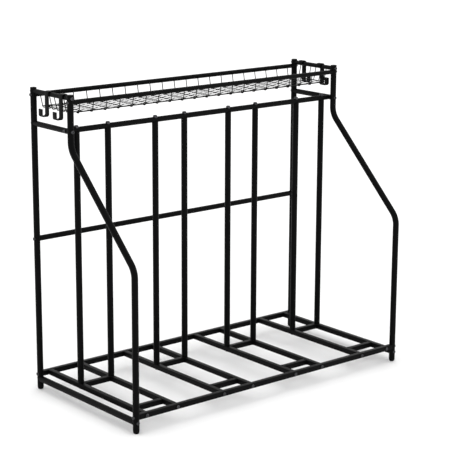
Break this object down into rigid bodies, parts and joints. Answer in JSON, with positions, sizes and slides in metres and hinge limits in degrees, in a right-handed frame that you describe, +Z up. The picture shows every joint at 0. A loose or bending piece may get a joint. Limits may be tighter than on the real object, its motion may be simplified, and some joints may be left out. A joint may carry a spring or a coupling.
{
  "type": "bicycle floor rack",
  "caption": "Free-standing black steel rack that holds bicycles by the front wheel, with a wire basket and hanging hooks on top.",
  "frame": {"origin": "centre of the footprint, on the floor", "axes": "+X to the right along the rack's length, +Y to the back, +Z up"},
  "size_m": [1.253, 0.5912, 1.066],
  "materials": {
    "post_powder_coat": "satin black powder coat",
    "bar_powder_coat": "satin black powder coat",
    "upright_powder_coat": "satin black powder coat",
    "tray_powder_coat": "satin black powder coat",
    "basket_powder_coat": "satin black powder coat",
    "mesh_powder_coat": "satin black powder coat on expanded metal",
    "hook_powder_coat": "satin black powder coat",
    "black_plastic": "moulded black plastic",
    "black_oxide_steel": "black oxide"
  },
  "bodies": {
    "rack": {"front_left_post": "post_powder_coat", "front_right_post": "post_powder_coat", "back_left_post": "post_powder_coat", "back_right_post": "post_powder_coat", "front_left_foot": "black_plastic", "front_right_foot": "black_plastic", "back_left_foot": "black_plastic", "back_right_foot": "black_plastic", "front_left_cap": "black_plastic", "front_right_cap": "black_plastic", "back_left_cap": "black_plastic", "back_right_cap": "black_plastic", "low_front_bar": "bar_powder_coat", "low_back_bar": "bar_powder_coat", "middle_back_bar": "bar_powder_coat", "low_left_bar": "bar_powder_coat", "low_right_bar": "bar_powder_coat", "top_left_bar": "bar_powder_coat", "top_right_bar": "bar_powder_coat", "top_front_bar": "bar_powder_coat", "wheel_tray_1": "tray_powder_coat", "wheel_tray_2": "tray_powder_coat", "wheel_tray_3": "tray_powder_coat", "wheel_tray_4": "tray_powder_coat", "wheel_upright_1": "upright_powder_coat", "wheel_upright_2": "upright_powder_coat", "wheel_upright_3": "upright_powder_coat", "wheel_upright_4": "upright_powder_coat", "wheel_upright_5": "upright_powder_coat", "wheel_upright_6": "upright_powder_coat", "wheel_upright_7": "upright_powder_coat", "wheel_upright_8": "upright_powder_coat", "basket_front": "basket_powder_coat", "basket_back": "basket_powder_coat", "basket_left": "basket_powder_coat", "basket_right": "basket_powder_coat", "basket_floor": "mesh_powder_coat", "bolt_low_front_left": "black_oxide_steel", "bolt_low_front_right": "black_oxide_steel", "bolt_low_back_left": "black_oxide_steel", "bolt_low_back_right": "black_oxide_steel", "bolt_middle_back_left": "black_oxide_steel", "bolt_middle_back_right": "black_oxide_steel", "bolt_top_front_left": "black_oxide_steel", "bolt_top_front_right": "black_oxide_steel", "bolt_low_left_front": "black_oxide_steel", "bolt_low_left_back": "black_oxide_steel", "bolt_low_right_front": "black_oxide_steel", "bolt_low_right_back": "black_oxide_steel", "bolt_top_left_front": "black_oxide_steel", "bolt_top_left_back": "black_oxide_steel", "bolt_top_right_front": "black_oxide_steel", "bolt_top_right_back": "black_oxide_steel"},
    "left_front_hook": {"hook_left_front": "hook_powder_coat"},
    "left_back_hook": {"hook_left_back": "hook_powder_coat"},
    "right_front_hook": {"hook_right_front": "hook_powder_coat"},
    "right_back_hook": {"hook_right_back": "hook_powder_coat"}
  },
  "joints": [
    {"name": "left_front_hook_slide", "type": "slide", "parent": "rack", "child": "left_front_hook", "axis": [0, 1, 0], "range_m": [-0.017, 0.028]},
    {"name": "left_back_hook_slide", "type": "slide", "parent": "rack", "child": "left_back_hook", "axis": [0, 1, 0], "range_m": [-0.028, 0.073]},
    {"name": "right_front_hook_slide", "type": "slide", "parent": "rack", "child": "right_front_hook", "axis": [0, 1, 0], "range_m": [-0.051, 0.037]},
    {"name": "right_back_hook_slide", "type": "slide", "parent": "rack", "child": "right_back_hook", "axis": [0, 1, 0], "range_m": [-0.037, 0.022]}
  ]
}
